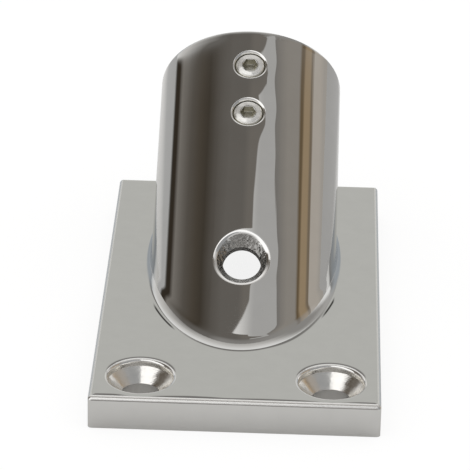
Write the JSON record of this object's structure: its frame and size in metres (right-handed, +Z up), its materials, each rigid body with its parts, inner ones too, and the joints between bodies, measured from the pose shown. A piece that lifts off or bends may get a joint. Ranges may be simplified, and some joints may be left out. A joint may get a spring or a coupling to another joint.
{
  "type": "inclined tube socket base plate",
  "caption": "Rectangular rail base plate with a round tube socket leaning back at 30 degrees, countersunk screw holes, and set screws near the mouth that clamp the rail tube.",
  "frame": {"origin": "where the socket's axis meets the plate's underside, which is the middle of the plate's underside", "axes": "+X across the plate, +Y towards the rear, the way the socket leans, +Z up from the underside"},
  "size_m": [0.046, 0.0881, 0.0371],
  "materials": {
    "polished_steel": "polished",
    "screw_steel": "satin"
  },
  "bodies": {
    "root": {"cast_base": "polished_steel", "upper_set_screw": "screw_steel", "lower_set_screw": "screw_steel"}
  },
  "joints": []
}
